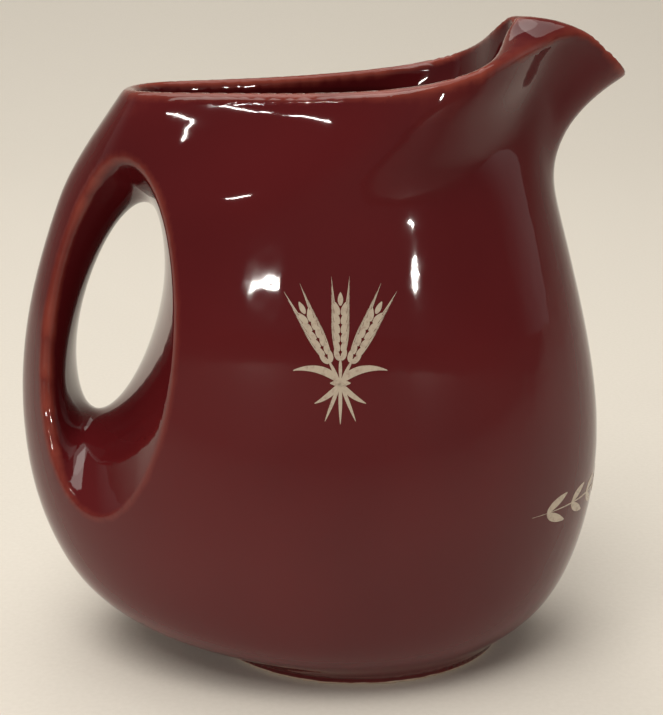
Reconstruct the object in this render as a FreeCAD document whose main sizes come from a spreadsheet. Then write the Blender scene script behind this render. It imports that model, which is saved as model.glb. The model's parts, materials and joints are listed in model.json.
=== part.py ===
import FreeCAD, Part
import math
import os
from FreeCAD import Vector

# A glazed ceramic water jug.  A squat egg-shaped body stands on a low oval foot, a hand hole
# goes through its back and leaves a grip, and the rim rises at the front into a beak.
# Millimetres and degrees.  +X points to the beak, the grip is at -X, and both sides of the
# XZ plane are alike.  The origin is on the table, below the middle of the jug's length.
# Angles around the jug are counted from the beak (0) over the side (90) to the grip (180).

# ------------------------------------------------------------------ driving sizes

SIZES = {
    # the clay
    "wall": 4.2,
    "floor_thickness": 5.0,
    "lip_width": 3.5,
    # the foot, an oval ring that the body overhangs by a small step
    "foot_height": 2.6,
    "foot_middle": 11.3,
    "foot_half_length": 38.8,
    "foot_half_width": 31.0,
    "foot_ring_width": 5.0,
    "foot_step": 1.0,
    "foot_root": 1.0,
    # the height of the rim at the grip
    "rim_height": 146.1,
    # the levels of the body's sections: the neck hangs below the rim, and the chest lies
    # halfway between the belly and the neck
    "base_level": 12.0,
    "low_level": 28.0,
    "belly_level": 57.0,
    "neck_drop": 26.1,
    # the hand hole, a leaning oval: smallest at its waist, in the middle of the jug, and
    # flaring to the oval that it cuts in the two sides; both reach from a height over the
    # table to a drop below the rim, this far in front of the chest's back
    "hole_setback": 23.8,
    "waist_bottom": 63.2,
    "waist_drop": 27.3,
    "waist_width": 19.6,
    "waist_lean": 18.0,
    "opening_bottom": 43.0,
    "opening_drop": 15.3,
    "opening_width": 32.0,
    "opening_lean": 8.2,
    "hole_edge_radius": 2.0,
    # how far the jug's sides lie from its middle plane at the hole: on the whole, then what
    # is added at the hole's front and taken at its back, and the same for its foot and top
    "side_depth": 23.4,
    "side_depth_front": 9.5,
    "side_depth_foot": 4.7,
}

# The outside in level sections: reach of the front and of the back, half width, and the
# part of that half width which is lost towards the back.
SECTION_QUANTITIES = ("front", "back", "side", "taper")
OUTSIDE = {
    "base": (61.8, -52.6, 40.5, 0.02),
    "low": (70.2, -68.7, 46.0, 0.12),
    "belly": (74.2, -76.1, 48.0, 0.30),
    "chest": (69.5, -73.8, 46.0, 0.38),
    "neck": (60.8, -63.8, 41.3, 0.40),
}

# The back of the space inside: under the hand hole, how much clay it leaves there over one
# wall, and beside the hole, how far in front of the hole's waist it lies.
UNDER_HOLE = {"low_extra_clay": 4.5}
BESIDE_HOLE = {"belly_clearance": -5.8, "chest_clearance": 6.2, "neck_clearance": 9.2}

# The outer edge of the rim at eight angles: reach, half width, rise over the rim at the
# grip, how far the wall below it leans out, and how high the lip arches over its edges.
RIM_QUANTITIES = ("angle", "reach", "width", "rise", "lean", "arch")
RIM = {
    "tip": (0.0, 75.4, 0.0, 4.2, 1.50, 2.5),
    "brow": (17.0, 67.6, 9.0, 11.0, 1.10, 2.3),
    "cheek": (38.0, 54.6, 15.3, 11.6, 0.55, 2.4),
    "throat": (58.0, 41.5, 29.3, 7.0, 0.05, 1.8),
    "widest": (78.0, 24.5, 37.0, 3.0, -0.15, 1.3),
    "flank": (112.0, -13.5, 26.0, 0.4, -0.25, 1.3),
    "corner": (150.0, -40.8, 16.0, 0.1, -0.62, 1.2),
    "back": (180.0, -47.0, 0.0, 0.0, -0.72, 1.2),
}

# The inner edge of the rim at the beak.  Elsewhere it lies one lip width inside the outer.
MOUTH_QUANTITIES = ("mouth_reach", "mouth_width", "mouth_rise")
MOUTH = {
    "tip": (48.6, 0.0, 15.2),
    "brow": (48.2, 7.0, 17.0),
    "cheek": (45.0, 12.6, 13.4),
}

# How finely the skins are drawn: points around a row, rows up the wall and through the hand
# hole, and where rows lie on the way up the neck and over the lip.
ROUND_STEPS = 48
WALL_STEPS = 14
HOLE_STEPS = 16
NECK_PARTS = (0.2, 0.4, 0.6, 0.78, 0.92, 1.0)
LIP_PARTS = (0.0, 0.04, 0.10, 0.20, 0.35, 0.5, 0.65, 0.80, 0.90, 0.96, 1.0)
# An upright smooth path rises by a quarter of the slope that it starts and ends with.
ARCH = 4.0
# Halvings of a right angle that find the widest place of a section.
HALVINGS = 40
SEWING_GAP = 0.01
SLOPE_STEP = 0.01


# ------------------------------------------------------------------ the size sheet

def all_sizes():
    """Every driving size under one plain name."""
    sizes = {**SIZES, **UNDER_HOLE, **BESIDE_HOLE}
    tables = (
        (OUTSIDE, SECTION_QUANTITIES),
        (RIM, RIM_QUANTITIES),
        (MOUTH, MOUTH_QUANTITIES),
    )
    for table, quantities in tables:
        for place, values in table.items():
            for quantity, value in zip(quantities, values):
                sizes[place + "_" + quantity] = value
    return sizes


def make_sheet(doc):
    sheet = doc.addObject("Spreadsheet::Sheet", "sizes")
    for row, (name, value) in enumerate(all_sizes().items(), start=1):
        sheet.set("A%d" % row, name)
        sheet.set("B%d" % row, str(value))
        sheet.setAlias("B%d" % row, name)
    doc.recompute()
    return sheet


doc = FreeCAD.newDocument("jug")
sheet = make_sheet(doc)


def size(name):
    return float(sheet.get(name))


def shaped(name, shape):
    """A document object that holds a worked-out shape."""
    feature = doc.addObject("Part::Feature", name)
    feature.Shape = shape
    return feature


def combined(kind, name, base, tool):
    result = doc.addObject(kind, name)
    result.Base = base
    result.Tool = tool
    return result


# ------------------------------------------------------------------ curves and sections

def curve_through(points, parameters, closed=False):
    curve = Part.BSplineCurve()
    curve.interpolate(Points=points, Parameters=parameters, PeriodicFlag=closed)
    return curve


def mirrored(point):
    return Vector(point.x, -point.y, point.z)


def closed_curve(angles, half):
    """A curve around the jug through the points of one half and their mirror images."""
    points = list(half) + [mirrored(point) for point in half[-2:0:-1]]
    parameters = list(angles) + [360.0 - angle for angle in angles[-2:0:-1]] + [360.0]
    return curve_through(points, parameters, closed=True)


def egg_point(angle, level, front, back, side, taper):
    """A point of a level section, round at both ends and narrower towards the back."""
    forward = math.cos(math.radians(angle))
    backness = (1 - forward) / 2
    half_width = side * (1 - taper * backness**3)
    return Vector(
        (front + back) / 2 + (front - back) / 2 * forward,
        half_width * math.sin(math.radians(angle)),
        level,
    )


def widest_angle(taper):
    """The angle at which an egg section is widest, found by halving."""
    low, high = 0.0, 90.0
    for _ in range(HALVINGS):
        angle = (low + high) / 2
        forward = math.cos(math.radians(angle))
        backness = (1 - forward) / 2
        widening = forward * (1 - taper * backness**3)
        tapering = 1.5 * taper * backness**2 * (1 - forward**2)
        if widening > tapering:
            low = angle
        else:
            high = angle
    return high


class Body:
    """A skin whose level sections follow the sizes given at some levels."""

    def __init__(self, stations):
        levels = [station[0] for station in stations]
        reaches = [Vector(*station[1:4]) for station in stations]
        tapers = [Vector(station[4], station[0], 0) for station in stations]
        self.reaches = curve_through(reaches, levels)
        self.tapers = curve_through(tapers, levels)

    def section(self, level):
        """Front, back, half width and taper at a level."""
        reach = self.reaches.value(level)
        return reach.x, reach.y, reach.z, self.tapers.value(level).x

    def point(self, angle, level):
        return egg_point(angle, level, *self.section(level))

    def slope(self, angle, level):
        """How the skin moves for each millimetre upwards."""
        below = self.point(angle, level - SLOPE_STEP)
        return (self.point(angle, level) - below) / SLOPE_STEP


class Inside(Body):
    """The space one wall inside a body, with its back drawn in to clear the hand hole."""

    def __init__(self, outside):
        self.outside = outside
        levels = section_levels()
        waist_front = hole_middle() + size("waist_width") / 2
        backs = [
            (floor_level(), outside.section(size("foot_height"))[1] + size("wall")),
            (levels["low"], size("low_back") + size("wall") + size("low_extra_clay")),
        ]
        backs += [
            (levels[place], waist_front + size(place + "_clearance"))
            for place in ("belly", "chest", "neck")
        ]
        self.backs = curve_through(
            [Vector(back, level, 0) for level, back in backs], [level for level, back in backs])

    def lift(self, level):
        """How much higher the inside lies than the outside: most at the floor."""
        floor = floor_level()
        left = max(0.0, 1 - (level - floor) / (size("belly_level") - floor))
        return size("floor_thickness") * left**2

    def point(self, angle, level):
        wall = size("wall")
        front, back, side, taper = self.outside.section(level - self.lift(level))
        section = (level, front - wall, back + wall, side - wall, taper)
        point = egg_point(angle, *section)
        widest = egg_point(widest_angle(taper), *section).x
        if point.x < widest:
            drawn_in = (widest - self.backs.value(level).x) / (widest - back - wall)
            point.x = widest + (point.x - widest) * drawn_in
        return point


def hermite(start, start_slope, end, end_slope, part):
    """A smooth path from one point to another that leaves and arrives at given slopes."""
    square, cube = part**2, part**3
    return (
        start * (2 * cube - 3 * square + 1)
        + start_slope * (cube - 2 * square + part)
        + end * (3 * square - 2 * cube)
        + end_slope * (cube - square)
    )


def angles_around():
    return [360.0 * step / ROUND_STEPS for step in range(ROUND_STEPS)]


def ring(points):
    curve = Part.BSplineCurve()
    curve.interpolate(Points=points, PeriodicFlag=True)
    return Part.Wire([curve.toShape()])


# ------------------------------------------------------------------ outside, rim and inside

def section_levels():
    neck = size("rim_height") - size("neck_drop")
    belly = size("belly_level")
    return {
        "base": size("base_level"),
        "low": size("low_level"),
        "belly": belly,
        "chest": (belly + neck) / 2,
        "neck": neck,
    }


def floor_level():
    return size("foot_height") + size("floor_thickness")


def outside_body():
    sole = [
        size("foot_height"),
        size("foot_middle") + size("foot_half_length") + size("foot_step"),
        size("foot_middle") - size("foot_half_length") - size("foot_step"),
        size("foot_half_width") + size("foot_step"),
        0.0,
    ]
    higher = [
        [level] + [size(place + "_" + quantity) for quantity in SECTION_QUANTITIES]
        for place, level in section_levels().items()
    ]
    return Body([sole] + higher)


RIM_ANGLES = [size(place + "_angle") for place in RIM]


def rim_edge():
    return closed_curve(RIM_ANGLES, [
        Vector(
            size(place + "_reach"),
            size(place + "_width"),
            size("rim_height") + size(place + "_rise"),
        )
        for place in RIM
    ])


def rim_shape():
    """Lean (x) and arch (z) around the rim; the width (y) only keeps the points apart."""
    return closed_curve(RIM_ANGLES, [
        Vector(size(place + "_lean"), size(place + "_width"), size(place + "_arch"))
        for place in RIM
    ])


def upright(angle):
    """The inside meets the rim without leaning."""
    return 0.0


def outward(angle):
    """The level direction away from the jug's middle."""
    return Vector(math.cos(math.radians(angle)), math.sin(math.radians(angle)), 0)


def across(curve, angle):
    """The level direction square to a curve around the jug, pointing out of it."""
    along = curve.tangent(angle)[0]
    return Vector(along.y, -along.x, 0).normalize()


def mouth_edge(edge):
    half = []
    for place, angle in zip(RIM, RIM_ANGLES):
        if place in MOUTH:
            point = Vector(
                size(place + "_mouth_reach"),
                size(place + "_mouth_width"),
                size("rim_height") + size(place + "_mouth_rise"),
            )
        else:
            point = edge.value(angle) - across(edge, angle) * size("lip_width")
        half.append(point)
    return closed_curve(RIM_ANGLES, half)


def neck_row(body, edge, lean_at, part):
    """The wall between the neck's level section and an edge of the rim."""
    neck = section_levels()["neck"]
    row = []
    for angle in angles_around():
        end = edge.value(angle)
        climb = end.z - neck
        row.append(hermite(
            body.point(angle, neck),
            body.slope(angle, neck) * climb,
            end,
            (outward(angle) * lean_at(angle) + Vector(0, 0, 1)) * climb,
            part,
        ))
    return row


def lip_row(edge, mouth, shape, part):
    """The top of the lip: it goes on up from the wall, rounds over and comes down inside."""
    row = []
    for angle in angles_around():
        lean = shape.value(angle).x
        rise = ARCH * shape.value(angle).z
        row.append(hermite(
            edge.value(angle),
            (outward(angle) * lean + Vector(0, 0, 1)) * rise,
            mouth.value(angle),
            Vector(0, 0, -rise),
            part,
        ))
    return row


def level_row(body, level):
    return [body.point(angle, level) for angle in angles_around()]


def steps(start, end, count):
    return [start + (end - start) * step / count for step in range(count + 1)]


def skin(rows):
    return Part.makeLoft([ring(row) for row in rows], False)


def jug_wall():
    """The clay between the outside, the lip and the inside, with its sole and floor."""

    def rim_lean(angle):
        return shape.value(angle).x

    outside = outside_body()
    inside = Inside(outside)
    edge = rim_edge()
    shape = rim_shape()
    mouth = mouth_edge(edge)
    neck = section_levels()["neck"]
    outer_rows = [level_row(outside, level)
                  for level in steps(size("foot_height"), neck, WALL_STEPS)]
    outer_rows += [neck_row(outside, edge, rim_lean, part) for part in NECK_PARTS]
    lip_rows = [lip_row(edge, mouth, shape, part) for part in LIP_PARTS]
    inner_rows = [level_row(inside, level) for level in steps(floor_level(), neck, WALL_STEPS)]
    inner_rows += [neck_row(inside, mouth, upright, part) for part in NECK_PARTS]
    sole = Part.Face(ring(outer_rows[0]))
    bottom = Part.Face(ring(inner_rows[0]))
    skins = [skin(outer_rows), skin(lip_rows), skin(inner_rows)]
    faces = [face for part in skins for face in part.Faces] + [sole, bottom]
    shell = Part.Shell(Part.makeCompound(faces).Faces)
    shell.sewShape(SEWING_GAP)
    solid = Part.Solid(shell)
    if solid.Volume < 0:
        solid.reverse()
    return solid


# ------------------------------------------------------------------ hand hole

def hole_middle():
    return size("chest_back") + size("hole_setback")


def leaning_oval(place, angle):
    """A point of the hole's oval, which leans to the front; the angle starts at its front."""
    bottom = size(place + "_bottom")
    top = size("rim_height") - size(place + "_drop")
    lean = math.radians(size(place + "_lean"))
    up = (top - bottom) / 2 * math.sin(math.radians(angle))
    forward = size(place + "_width") / 2 * math.cos(math.radians(angle))
    return Vector(
        hole_middle() + forward * math.cos(lean) + up * math.tan(lean),
        0,
        (bottom + top) / 2 + up - forward * math.sin(lean),
    )


def side_depth(angle):
    """How far the jug's side lies from the middle plane, around the hole."""
    return (
        size("side_depth")
        + size("side_depth_front") * math.cos(math.radians(angle))
        - size("side_depth_foot") * math.sin(math.radians(angle))
    )


def hole_row(depth):
    """The hole's outline at one distance from the middle plane."""
    row = []
    for angle in angles_around():
        waist = leaning_oval("waist", angle)
        opening = leaning_oval("opening", angle)
        flare = (depth / side_depth(angle))**2
        row.append(waist + (opening - waist) * flare + Vector(0, depth, 0))
    return row


def hand_hole():
    reach = max(size(place + "_side") for place in OUTSIDE)
    depths = steps(-reach, reach, HOLE_STEPS)
    return Part.makeLoft([ring(hole_row(depth)) for depth in depths], True)


# ------------------------------------------------------------------ foot

def oval_prism(name, half_length, half_width, height):
    """An upright oval block on the table, whose sizes are formulas on the sheet."""
    oval = doc.addObject("Part::Ellipse", name + "_outline")
    oval.setExpression("MajorRadius", half_length)
    oval.setExpression("MinorRadius", half_width)
    oval.setExpression("Placement.Base.x", "sizes.foot_middle")
    prism = doc.addObject("Part::Extrusion", name)
    prism.Base = oval
    prism.DirMode = "Custom"
    prism.Dir = Vector(0, 0, 1)
    prism.Solid = True
    prism.setExpression("LengthFwd", height)
    return prism


def foot_ring():
    """The ring that stands on the table; its root reaches a little into the floor."""
    block = oval_prism(
        "foot_block",
        "sizes.foot_half_length",
        "sizes.foot_half_width",
        "sizes.foot_height + sizes.foot_root",
    )
    hollow = oval_prism(
        "foot_hollow",
        "sizes.foot_half_length - sizes.foot_ring_width",
        "sizes.foot_half_width - sizes.foot_ring_width",
        "sizes.foot_height + sizes.foot_root",
    )
    return combined("Part::Cut", "foot_ring", block, hollow)


# ------------------------------------------------------------------ the jug

def hole_edges(shape):
    """The numbers of the two closed edges that the hand hole leaves, one on each side."""
    return [
        number for number, edge in enumerate(shape.Edges, start=1)
        if edge.Closed and edge.BoundBox.YMin * edge.BoundBox.YMax > 0
    ]


def rounded(name, base, edges, radius):
    result = doc.addObject("Part::Fillet", name)
    result.Base = base
    result.Edges = [(number, radius, radius) for number in edges]
    return result


def make_jug():
    wall = shaped("wall_with_rim", jug_wall())
    standing = combined("Part::Fuse", "standing_jug", wall, foot_ring())
    pierced = combined("Part::Cut", "pierced_jug", standing, shaped("hand_hole", hand_hole()))
    doc.recompute()
    edges = hole_edges(pierced.Shape)
    if len(edges) != 2:
        raise RuntimeError("the hand hole must leave one edge on each side")
    jug = rounded("rounded_jug", pierced, edges, size("hole_edge_radius"))
    jug.Label = "jug"
    doc.recompute()
    return jug


# ------------------------------------------------------------------ check and write

def check(parts):
    for item in doc.Objects:
        if "Invalid" in item.State or "Error" in item.State:
            raise RuntimeError("failed object: " + item.Label)
    for part in parts:
        if part.Shape.isNull() or not part.Shape.isValid():
            raise RuntimeError("bad shape: " + part.Label)
        if len(part.Shape.Solids) != 1:
            raise RuntimeError("not one solid: " + part.Label)


def write(parts):
    os.makedirs("parts", exist_ok=True)
    for part in parts:
        part.Shape.exportStep("parts/" + part.Label + ".step")
        print(part.Label, "volume", round(part.Shape.Volume), part.Shape.BoundBox)


sub_parts = [make_jug()]
check(sub_parts)
write(sub_parts)
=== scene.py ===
# %% [markdown]
# # A glazed water jug
# This lesson dresses a jug of slip-cast earthenware: a squat body with a raised beak, a
# hand hole through its back, and a deep burgundy glaze that turns rusty where it is thin.
# The solid from the CAD model gives every size. Here it gets a smooth skin, a glaze, an
# unglazed foot and a printed ornament, and then a table, lamps and a camera.

# %% Load the solid and keep its box
import json
import math

import bpy
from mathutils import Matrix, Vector

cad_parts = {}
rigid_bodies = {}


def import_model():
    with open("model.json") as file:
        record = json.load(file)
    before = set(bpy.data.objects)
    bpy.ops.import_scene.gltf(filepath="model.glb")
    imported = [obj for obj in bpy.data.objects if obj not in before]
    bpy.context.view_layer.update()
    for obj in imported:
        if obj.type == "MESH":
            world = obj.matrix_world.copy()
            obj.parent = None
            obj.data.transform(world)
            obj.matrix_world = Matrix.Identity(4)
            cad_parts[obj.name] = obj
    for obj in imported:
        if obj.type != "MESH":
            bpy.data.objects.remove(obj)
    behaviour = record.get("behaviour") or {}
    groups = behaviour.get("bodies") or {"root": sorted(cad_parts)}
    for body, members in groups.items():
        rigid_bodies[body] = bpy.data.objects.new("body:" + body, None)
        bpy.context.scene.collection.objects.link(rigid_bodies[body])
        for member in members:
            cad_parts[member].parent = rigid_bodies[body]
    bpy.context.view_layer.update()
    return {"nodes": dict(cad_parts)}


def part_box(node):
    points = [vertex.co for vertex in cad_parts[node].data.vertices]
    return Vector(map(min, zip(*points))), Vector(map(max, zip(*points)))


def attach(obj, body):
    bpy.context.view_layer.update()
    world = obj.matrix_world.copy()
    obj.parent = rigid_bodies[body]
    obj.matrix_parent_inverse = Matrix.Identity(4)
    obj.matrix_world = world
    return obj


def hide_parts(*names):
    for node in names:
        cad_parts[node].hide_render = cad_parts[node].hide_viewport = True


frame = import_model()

low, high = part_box("jug")
print("jug from", [round(v * 1000, 1) for v in low], "to", [round(v * 1000, 1) for v in high], "mm")

# %% [markdown]
# ## Small helpers
# Operators act on whatever is selected, and loading leaves the solid selected, so each step
# starts by letting go of everything. `pick` then makes one object the active one.

# %% Helpers for selecting and finishing
MM = 0.001


def let_go():
    bpy.ops.object.select_all(action="DESELECT")


def pick(piece):
    let_go()
    piece.select_set(True)
    bpy.context.view_layer.objects.active = piece


def apply_modifier(piece, kind, **settings):
    """Adds a modifier of this kind with these settings and applies it at once."""
    pick(piece)
    bpy.ops.object.modifier_add(type=kind)
    modifier = piece.modifiers[-1]
    for name, value in settings.items():
        setattr(modifier, name, value)
    bpy.ops.object.modifier_apply(modifier=modifier.name)


def select_where(piece, test):
    """In edit mode, selects the faces that pass a test of their middle and normal."""
    bpy.ops.object.mode_set(mode="OBJECT")
    for item in list(piece.data.vertices) + list(piece.data.edges):
        item.select = False
    for face in piece.data.polygons:
        face.select = test(face.center, face.normal)
    bpy.ops.object.mode_set(mode="EDIT")


# %% [markdown]
# ## The body's skin
# The solid's mesh is made of long thin triangles, and gloss shows their edges as kinks. On
# the real jug the glaze pools and levels itself, so no edge is sharp. An even mesh of small
# squares gives reflections that flow in the same way. A copy of the solid is merged and
# used as a mould: a new even mesh is wrapped round it, and smoothed and pressed back onto
# the mould in turn, so that the lip and the edges of the hand hole keep their size. The
# beak's lip is thinner than two squares, so it is plumped a little before the wrapping,
# and pressing it back takes that off again.

# %% Wrap the body in an even mesh and smooth it
SQUARE = 1.3 * MM
SMOOTHING_ROUNDS = 4
SMOOTHING_STEPS = 3
OUT, BACK_IN = 0.5, -0.52
BEAK_ABOVE = 140 * MM
BEAK_BEYOND = 40 * MM
LIP_SPARE = 0.7 * MM

let_go()
mould = frame["nodes"]["jug"].copy()
mould.data = mould.data.copy()
bpy.context.scene.collection.objects.link(mould)
for key in [key for key in mould.keys() if key.startswith("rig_")]:
    del mould[key]
mould.parent = None
mould.data.materials.clear()
pick(mould)
bpy.ops.object.mode_set(mode="EDIT")
bpy.ops.mesh.select_all(action="SELECT")
bpy.ops.mesh.remove_doubles(threshold=0.001 * MM)
bpy.ops.object.mode_set(mode="OBJECT")

body = mould.copy()
body.data = mould.data.copy()
body.name = body.data.name = "glazed_body"
bpy.context.scene.collection.objects.link(body)
pick(body)
select_where(body, lambda middle, normal: middle.z > BEAK_ABOVE and middle.x > BEAK_BEYOND)
bpy.ops.transform.shrink_fatten(value=LIP_SPARE)
bpy.ops.object.mode_set(mode="OBJECT")
apply_modifier(body, "REMESH", mode="VOXEL", voxel_size=SQUARE, use_smooth_shade=True)
for _ in range(SMOOTHING_ROUNDS):
    apply_modifier(body, "SMOOTH", factor=OUT, iterations=SMOOTHING_STEPS)
    apply_modifier(
        body, "SHRINKWRAP", target=mould, wrap_method="NEAREST_SURFACEPOINT")
apply_modifier(body, "SMOOTH", factor=OUT, iterations=SMOOTHING_STEPS)
apply_modifier(body, "SMOOTH", factor=BACK_IN, iterations=SMOOTHING_STEPS)
bpy.data.objects.remove(mould)
print("glazed body:", len(body.data.polygons), "squares")

# %% [markdown]
# ## Where the glaze is thin
# Molten glaze runs off every outward edge, such as the lip, the beak's brow and the edges
# of the hand hole, and there the rust colour of the body shows through. It could be painted
# by hand, but it follows the shape, so the shape can tell: a much smoothed copy of the body
# sinks away from its outward edges, and how far each point stands proud of that copy is
# kept on the mesh as a number that the material reads.

# %% Measure how far each point stands proud
PROUD_FULL = 0.9 * MM
SOFTENING_STEPS = 14

pick(body)
bpy.ops.object.duplicate()
softened = bpy.context.active_object
apply_modifier(softened, "SMOOTH", factor=OUT, iterations=SOFTENING_STEPS)
proud = body.data.attributes.new("proud", "FLOAT", "POINT")
for point, soft_point, value in zip(body.data.vertices, softened.data.vertices, proud.data):
    distance = (point.co - soft_point.co).dot(point.normal)
    value.value = min(max(distance / PROUD_FULL, -1.0), 1.0)
bpy.data.objects.remove(softened)
print("proud points:", sum(1 for value in proud.data if value.value > 0.5))

# %% [markdown]
# ## A small kit for materials
# Each material is a handful of nodes. These helpers add one node, set its plain values and
# join its sockets, so that each finish below reads as a short list.

# %% Helpers for nodes


class Finish:
    """A material under construction, with its Principled shader."""

    def __init__(self, name):
        self.material = bpy.data.materials.new(name)
        self.material.use_nodes = True
        self.tree = self.material.node_tree
        self.shader = self.tree.nodes["Principled BSDF"]

    def node(self, kind, inputs=(), **settings):
        made = self.tree.nodes.new("ShaderNode" + kind)
        for name, value in settings.items():
            setattr(made, name, value)
        for name, value in dict(inputs).items():
            self.give(made.inputs[name], value)
        return made

    def give(self, socket, value):
        """A socket is given another node's socket or a plain value."""
        if isinstance(value, bpy.types.NodeSocket):
            self.tree.links.new(value, socket)
        else:
            socket.default_value = value

    def set(self, **values):
        for name, value in values.items():
            self.give(self.shader.inputs[name.replace("_", " ")], value)

    def ramp(self, value, *stops):
        """A colour ramp from (place, brightness or colour) pairs."""
        made = self.node("ValToRGB", {"Fac": value})
        elements = made.color_ramp.elements
        for element in list(elements)[1:]:
            elements.remove(element)
        for index, (place, colour) in enumerate(stops):
            element = elements[0] if index == 0 else elements.new(place)
            element.position = place
            if isinstance(colour, float):
                colour = (colour, colour, colour)
            element.color = (*colour, 1.0)
        return made.outputs["Color"]

    def mix(self, part, first, second, blend="MIX"):
        made = self.node("Mix", data_type="RGBA", blend_type=blend)
        self.give(made.inputs["Factor"], part)
        for name, colour in (("A", first), ("B", second)):
            socket = [s for s in made.inputs if s.name == name and s.type == "RGBA"][0]
            if isinstance(colour, tuple):
                colour = (*colour, 1.0)
            self.give(socket, colour)
        return [s for s in made.outputs if s.type == "RGBA"][0]

    def math(self, operation, first, second=0.0, clamp=False):
        made = self.node("Math", operation=operation, use_clamp=clamp)
        self.give(made.inputs[0], first)
        self.give(made.inputs[1], second)
        return made.outputs[0]

    def object_place(self):
        return self.node("TexCoord").outputs["Object"]

    def noise(self, scale, detail=2.0, roughness=0.5):
        made = self.node("TexNoise", {
            "Vector": self.object_place(),
            "Scale": scale,
            "Detail": detail,
            "Roughness": roughness,
        })
        return made.outputs["Fac"]

    def bump(self, height, distance, strength=1.0):
        made = self.node("Bump", {
            "Height": height, "Distance": distance, "Strength": strength})
        return made.outputs["Normal"]


# %% [markdown]
# ## The glaze
# A glossy glaze over red clay: deep burgundy where it is thick and rust where the body stands
# proud. Soft clouds, a shade darker in random patches, keep it from being one
# flat colour, and a very low ripple, a centimetre or so across, bends the reflections as a
# fired glaze does. Under the foot a narrow band was wiped clean before firing and shows the
# pale bare clay.

# %% Mix the glaze
THICK_GLAZE = (0.102, 0.0085, 0.0100)
DEEP_GLAZE = (0.080, 0.0065, 0.0082)
THIN_GLAZE = (0.235, 0.044, 0.029)
BARE_CLAY = (0.56, 0.44, 0.34)
CLEAN_BAND = 0.9 * MM
GLAZE_ROUGHNESS = (0.045, 0.045, 0.045)
CLAY_ROUGHNESS = (0.75, 0.75, 0.75)

glaze = Finish("burgundy_glaze")
standing_proud = glaze.node("Attribute", attribute_name="proud").outputs["Fac"]
clouds = glaze.ramp(glaze.noise(16.0, 2.0), (0.35, 0.0), (0.68, 1.0))
cloudy = glaze.mix(clouds, THICK_GLAZE, DEEP_GLAZE)
fray = glaze.math("MULTIPLY", glaze.math("SUBTRACT", glaze.noise(220.0, 2.0), 0.5), 0.10)
thin = glaze.ramp(glaze.math("ADD", standing_proud, fray), (0.09, 0.0), (0.58, 1.0))
coloured = glaze.mix(thin, cloudy, THIN_GLAZE)

height = glaze.node("SeparateXYZ", {"Vector": glaze.object_place()}).outputs["Z"]
wobble = glaze.math("MULTIPLY", glaze.noise(180.0, 2.0), 0.8 * MM)
above_band = glaze.math("SUBTRACT", height, wobble)
glazed = glaze.ramp(
    glaze.math("DIVIDE", above_band, CLEAN_BAND), (0.42, 0.0), (0.60, 1.0))
glaze.set(
    Base_Color=glaze.mix(glazed, BARE_CLAY, coloured),
    Roughness=glaze.mix(glazed, CLAY_ROUGHNESS, GLAZE_ROUGHNESS),
    Normal=glaze.bump(glaze.noise(70.0, 1.0, 0.4), 0.05 * MM, 0.16),
    IOR=1.5,
    Specular_IOR_Level=0.36,
)
body.data.materials.append(glaze.material)
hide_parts("jug")
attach(body, "root")
print("glaze mixed with", len(glaze.tree.nodes), "nodes")

# %% [markdown]
# ## The printed ornament
# A jug like this is decorated with a transfer in one cream colour. Here it is a small sheaf
# of barley on each side and a leafy branch across the front. Everything in it, a grain, an
# awn, a stem or a leaf, is a blade: long, widest somewhere along it, and maybe bent. So
# one helper makes a blade flat, in millimetres, and lists turn blades into plants. The
# drawing is then pressed onto the body as a transfer is, by projecting it straight back.

# %% A helper that draws one blade
BLADE_STEPS = 12


def blade(foot, angle, length, width, bend=0.0, widest=0.5, steps=BLADE_STEPS):
    """A flat blade in X and Z; the angle is from upright, and bend turns it as it grows."""
    let_go()
    bpy.ops.mesh.primitive_grid_add(x_subdivisions=2, y_subdivisions=steps, size=1.0)
    made = bpy.context.active_object
    power = math.log(0.5) / math.log(widest)
    for vertex in made.data.vertices:
        along = min(max(vertex.co.y + 0.5, 0.0), 1.0)
        swell = math.sin(math.pi * min(max(along, 0.02), 0.98) ** power) ** 0.7
        heading = math.radians(angle + bend * along / 2)
        side = vertex.co.x * width * swell
        vertex.co = (
            (foot[0] + math.sin(heading) * length * along + math.cos(heading) * side) * MM,
            0.0,
            (foot[1] + math.cos(heading) * length * along - math.sin(heading) * side) * MM,
        )
    return made


print("a blade is", BLADE_STEPS, "squares long")

# %% [markdown]
# ### An ear of barley
# An ear is a stem with grains in pairs, each leaning out, and a long fine awn from every
# grain. The ears fan out from one band, with the stems crossing below it.

# %% Draw the ears, the stems and the band
GRAIN_PAIRS = 6
GRAIN_PITCH = 2.05
SHEAF_FAN = (-27.0, 0.0, 27.0)


def along_line(start, angle, distance, aside=0.0):
    turn = math.radians(angle)
    return (
        start[0] + math.sin(turn) * distance + math.cos(turn) * aside,
        start[1] + math.cos(turn) * distance - math.sin(turn) * aside,
    )


def ear(start, angle):
    grains = []
    for number in range(GRAIN_PAIRS):
        for side in (-1, 1):
            seat = along_line(start, angle, GRAIN_PITCH * number, 0.30 * side)
            grains.append(blade(seat, angle + 24 * side, 3.0, 1.25, -12 * side, 0.42))
            tip = along_line(seat, angle + 22 * side, 2.6)
            grains.append(blade(tip, angle + 10 * side, 6.2, 0.24, -6 * side, 0.3))
    top = along_line(start, angle, GRAIN_PITCH * GRAIN_PAIRS)
    return grains + [blade(top, angle, 3.0, 1.2, 0, 0.42)]


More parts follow.
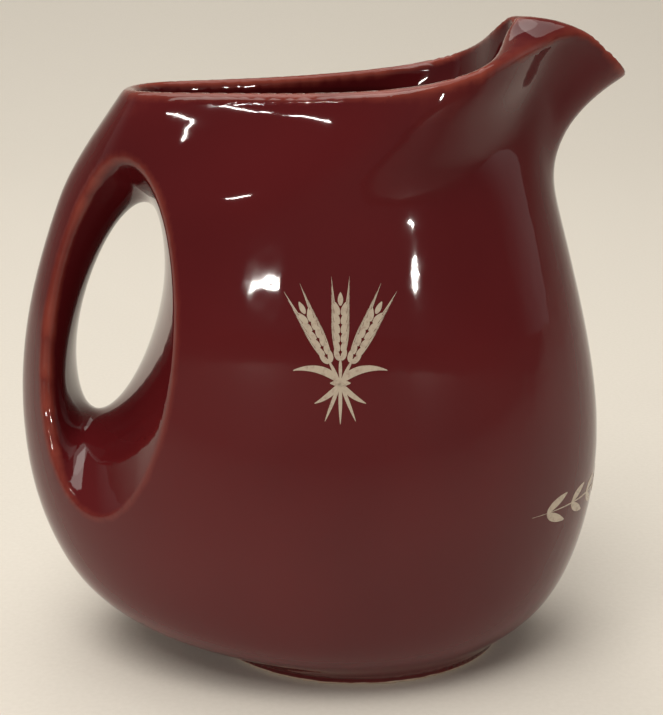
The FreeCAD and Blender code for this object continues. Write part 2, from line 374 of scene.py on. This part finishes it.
def sheaf():
    band = (0.0, -6.0)
    drawn = []
    for angle in SHEAF_FAN:
        drawn += ear(along_line(band, angle, 5.2), angle)
        drawn.append(blade(band, angle, 6.2, 0.75, 0, 0.5))
        drawn.append(blade(band, 180 + angle * 0.8, 9.5, 0.85, 0, 0.4))
    for side in (-1, 1):
        drawn.append(blade(band, 38 * side, 11.0, 1.9, 75 * side, 0.4, 16))
        drawn.append(blade(band, 180 + 36 * side, 7.5, 1.3, 30 * side, 0.4))
    drawn.append(blade((-2.3, -6.0), 90, 4.6, 1.5, 0, 0.5))
    return drawn


# %% [markdown]
# ### The branch
# A wavy twig with paired leaves, laid level, for the front of the belly.

# %% Draw the branch
LEAF_PAIRS = 9
BRANCH_PITCH = 6.8
TWIG_HALF = 33.0


def branch():
    drawn = [blade((-TWIG_HALF, 0.0), 90, 2 * TWIG_HALF, 0.6, 0, 0.5, 60)]
    for number in range(LEAF_PAIRS):
        seat = (3.0 - TWIG_HALF + BRANCH_PITCH * number, 0.0)
        for side in (-1, 1):
            angle = 90 - 52 * side
            drawn.append(blade(seat, angle, 6.0, 2.0, 30 * side, 0.45))
    drawn.append(blade((TWIG_HALF - 3.0, 0.0), 90, 6.0, 2.0, 0, 0.45))
    return drawn


# %% [markdown]
# ### Pressing it onto the body
# The flat drawing is joined, turned towards the side it belongs to, set at its place, and
# projected onto the glaze. Solidify then gives it the thickness of a fired transfer, about a
# tenth of a millimetre, with its back sunk in the glaze.

# %% Press the ornament on
PRINT_THICK = 0.10 * MM
PRINT_LIFT = 0.04 * MM


def press_on(name, drawn, turn, place):
    let_go()
    for one in drawn:
        one.select_set(True)
    bpy.context.view_layer.objects.active = drawn[0]
    bpy.ops.object.join()
    piece = bpy.context.active_object
    piece.name = piece.data.name = name
    piece.rotation_euler = (0.0, 0.0, math.radians(turn))
    piece.location = place
    bpy.ops.object.transform_apply(location=True, rotation=True, scale=True)
    axis = "use_project_y" if turn in (0.0, 180.0) else "use_project_x"
    apply_modifier(
        piece, "SHRINKWRAP", target=body, wrap_method="PROJECT", offset=PRINT_LIFT,
        use_negative_direction=True, use_positive_direction=True, **{axis: True})
    pick(piece)
    bpy.ops.object.mode_set(mode="EDIT")
    bpy.ops.mesh.select_all(action="SELECT")
    bpy.ops.mesh.normals_make_consistent(inside=False)
    bpy.ops.object.mode_set(mode="OBJECT")
    middle = sum((v.co for v in piece.data.vertices), Vector()) / len(piece.data.vertices)
    facing = sum(face.normal.dot(Vector((middle.x, middle.y, 0.0))) for face in piece.data.polygons)
    if facing < 0:
        bpy.ops.object.mode_set(mode="EDIT")
        bpy.ops.mesh.flip_normals()
        bpy.ops.object.mode_set(mode="OBJECT")
    apply_modifier(piece, "SOLIDIFY", thickness=PRINT_THICK, offset=-0.6)
    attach(piece, "root")
    return piece


SIDE_PLACE = (6.5 * MM, 60.0 * MM, 91.0 * MM)
FRONT_PLACE = (90.0 * MM, 0.0, 47.0 * MM)
side_x, side_y, side_z = SIDE_PLACE
prints = [
    press_on("near_barley", sheaf(), 0.0, (side_x, -side_y, side_z)),
    press_on("far_barley", sheaf(), 180.0, (side_x, side_y, side_z)),
    press_on("front_branch", branch(), 90.0, FRONT_PLACE),
]
for piece in prints:
    print(piece.name, len(piece.data.polygons), "faces")

# %% [markdown]
# ## The print's colour
# A fired enamel: cream, nearly as glossy as the glaze, a little uneven where the transfer
# took up less colour, so that the burgundy shows through in specks.

# %% Mix the cream enamel
CREAM = (0.50, 0.415, 0.32)
WORN_CREAM = (0.36, 0.26, 0.205)

enamel = Finish("cream_enamel")
wear = enamel.ramp(enamel.noise(900.0, 3.0, 0.6), (0.52, 0.0), (0.74, 1.0))
enamel.set(
    Base_Color=enamel.mix(wear, CREAM, WORN_CREAM),
    Roughness=enamel.ramp(enamel.noise(300.0), (0.3, 0.22), (0.7, 0.34)),
    Normal=enamel.bump(enamel.noise(1200.0), 0.01 * MM, 0.3),
    IOR=1.5,
)
for piece in prints:
    piece.data.materials.clear()
    piece.data.materials.append(enamel.material)
print("enamel mixed with", len(enamel.tree.nodes), "nodes")

# %% [markdown]
# ## Table, backdrop and lamps
# A pale warm table curves up behind into its own backdrop, so no line shows where they
# meet. Its front is painted darker, a painted shade, so that the glaze mirrors little of it.
# A wide sun stands in for a bright ceiling, with two soft lamps. A gloss shows its lamps,
# so the others are short narrow tubes, and they draw the small bright streaks on the jug's
# shoulder and leave the rest of the glaze deep.

# %% Lay the table and the backdrop
BACK = 2.6
FLOOR = 30.0
WALL_HEIGHT = 3.0
CURVE = 1.7
AT_BACK = BACK - 0.1

bpy.ops.mesh.primitive_plane_add(size=FLOOR, location=(0, BACK - FLOOR / 2, 0))
table = bpy.context.active_object
table.name = "table"
for edge in table.data.edges:
    ends = [table.data.vertices[number].co for number in edge.vertices]
    edge.select = all(end.y > AT_BACK for end in ends)
for vertex in table.data.vertices:
    vertex.select = vertex.co.y > AT_BACK
for face in table.data.polygons:
    face.select = False
bpy.ops.object.mode_set(mode="EDIT")
bpy.ops.mesh.select_mode(type="EDGE")
bpy.ops.mesh.extrude_region_move(TRANSFORM_OT_translate={"value": (0, 0, WALL_HEIGHT)})
bpy.ops.object.mode_set(mode="OBJECT")
for edge in table.data.edges:
    ends = [table.data.vertices[number].co for number in edge.vertices]
    edge.select = all(end.y > AT_BACK and end.z < 0.1 for end in ends)
bpy.ops.object.mode_set(mode="EDIT")
bpy.ops.mesh.bevel(offset=CURVE, segments=24, affect="EDGES")
bpy.ops.object.mode_set(mode="OBJECT")
table.data.shade_smooth()
pick(table)
bpy.ops.object.transform_apply(location=True, rotation=True, scale=True)
print("table and backdrop:", len(table.data.polygons), "faces")

PAPER = (0.73, 0.69, 0.62)
PAPER_FLECK = (0.76, 0.72, 0.65)
# The dark paper colour of the painted shade on the floor in front of the jug.
PAINTED_SHADE_PAPER = (0.27, 0.255, 0.230)

stand = Finish("pale_table")
paper = stand.ramp(stand.noise(700.0, 2.0), (0.3, PAPER), (0.7, PAPER_FLECK))
across = stand.node("SeparateXYZ", {"Vector": stand.object_place()}).outputs["Y"]
# Towards the front the floor is painted darker: painted shade standing in for light that falls off
# in front of the jug.
painted_front_shade = stand.ramp(stand.math("ADD", across, 1.0), (0.70, 0.0), (0.94, 1.0))
stand.set(Base_Color=stand.mix(painted_front_shade, PAINTED_SHADE_PAPER, paper), Roughness=0.8)
table.data.materials.append(stand.material)

# %% Hang the lamps
MIDDLE = Vector((0.0, 0.0, 0.09))
WARM = (1.0, 0.96, 0.90)


def lamp(name, azimuth, elevation, distance, length, width, watts, turn=0.0):
    """An area lamp that faces the jug; azimuth 0 is in front of the near side."""
    around, up = math.radians(azimuth), math.radians(elevation)
    direction = Vector((
        math.sin(around) * math.cos(up),
        -math.cos(around) * math.cos(up),
        math.sin(up),
    ))
    bpy.ops.object.light_add(type="AREA", location=MIDDLE + direction * distance)
    made = bpy.context.active_object
    made.name = name
    made.data.shape = "RECTANGLE"
    made.data.size = length
    made.data.size_y = width
    made.data.energy = watts
    made.data.color = WARM
    made.rotation_mode = "QUATERNION"
    made.rotation_quaternion = direction.to_track_quat("Z", "Y")
    made.rotation_mode = "XYZ"
    made.rotation_euler.rotate_axis("Z", math.radians(turn))
    return made


lamp("soft_front", -32, 62, 1.6, 1.0, 1.0, 14.0)
lamp("soft_behind", -150, 60, 2.0, 1.4, 1.4, 8.0)
lamp("tube_left", -25, 5, 1.5, 0.28, 0.012, 2.6)
lamp("tube_right", 30, 6, 1.5, 0.08, 0.03, 2.6, 30.0)
lamp("tube_high", -43, 29, 1.5, 0.16, 0.010, 0.9)

bpy.ops.object.light_add(type="SUN", location=(0, 0, 2))
ceiling = bpy.context.active_object
ceiling.name = "bright_ceiling"
ceiling.data.energy = 1.25
ceiling.data.angle = math.radians(60)
ceiling.data.color = WARM

# %% [markdown]
# ### The room
# The glaze also mirrors the room. The room is dim, which keeps the glaze deep, but its side
# walls are pale and fade in softly, and they draw the soft light bands down the jug's right
# and left edges. The direction of view, dotted with the direction of each wall, gives the
# fade.

# %% Light the room
DIM = (0.135, 0.128, 0.118)
WALLS = (
    ((0.00, -0.90, -0.43), (0.50, 0.92), (0.22, 0.205, 0.19)),
    ((0.85, 0.48, 0.05), (0.66, 0.98), (0.72, 0.67, 0.63)),
    ((-0.90, 0.42, 0.05), (0.80, 1.00), (0.42, 0.38, 0.35)),
)

world = bpy.data.worlds.new("pale_room")
bpy.context.scene.world = world
world.use_nodes = True
nodes, links = world.node_tree.nodes, world.node_tree.links
direction = nodes.new("ShaderNodeTexCoord").outputs["Generated"]
colour = None
for towards, (first, last), brightness in WALLS:
    dot = nodes.new("ShaderNodeVectorMath")
    dot.operation = "DOT_PRODUCT"
    dot.inputs[1].default_value = towards
    links.new(direction, dot.inputs[0])
    fade = nodes.new("ShaderNodeMapRange")
    fade.interpolation_type = "SMOOTHSTEP"
    fade.inputs["From Min"].default_value = first
    fade.inputs["From Max"].default_value = last
    links.new(dot.outputs["Value"], fade.inputs["Value"])
    blend = nodes.new("ShaderNodeMixRGB")
    blend.inputs["Color1"].default_value = (*DIM, 1.0)
    blend.inputs["Color2"].default_value = (*brightness, 1.0)
    links.new(fade.outputs["Result"], blend.inputs["Fac"])
    if colour is not None:
        links.new(colour, blend.inputs["Color1"])
    colour = blend.outputs["Color"]
links.new(colour, nodes["Background"].inputs["Color"])
print("room:", len(nodes), "nodes")

# %% [markdown]
# ## The camera
# The eye stands a third of a metre in front of the near side and looks a little down, so
# the mouth shows as a narrow oval and the beak rises behind it.

# %% Place the camera
bpy.ops.object.camera_add(
    location=(0.0045, -0.325, 0.173),
    rotation=(math.radians(73.71), 0.0, 0.0),
)
camera = bpy.context.active_object
camera.name = "eye"
camera.data.lens = 65.45
camera.data.sensor_width = 36.0
bpy.context.scene.camera = camera
bpy.context.scene.view_settings.view_transform = "Standard"
